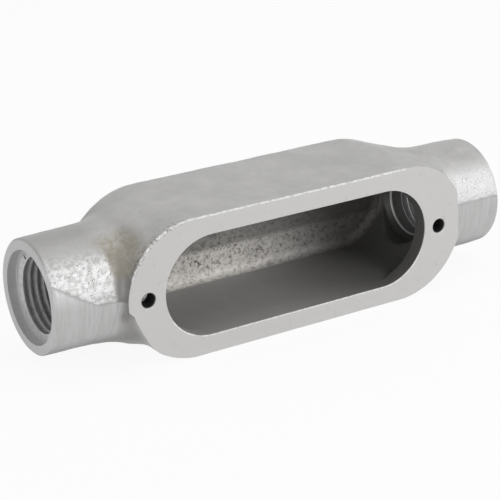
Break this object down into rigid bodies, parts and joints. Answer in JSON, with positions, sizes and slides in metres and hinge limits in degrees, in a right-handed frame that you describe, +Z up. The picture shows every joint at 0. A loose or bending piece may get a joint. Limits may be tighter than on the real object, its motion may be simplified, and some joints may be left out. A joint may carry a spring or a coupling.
{
  "type": "conduit body",
  "caption": "Straight-through iron conduit body: a long rounded box with an open cover seat, undercut end lips with tapped cover holes, and an inside-threaded hub at each end.",
  "frame": {"origin": "centre of the flat cover seat, midway between the two cover-screw holes", "axes": "+X along the hubs, -Y out of the cover opening, +Z up, with the fitting lying on its flat -Z side"},
  "size_m": [0.13, 0.0319, 0.0354],
  "materials": {
    "cast_iron": "as cast, silver grey, with the cover seat ground flat"
  },
  "bodies": {
    "root": {"body_casting": "cast_iron"}
  },
  "joints": []
}
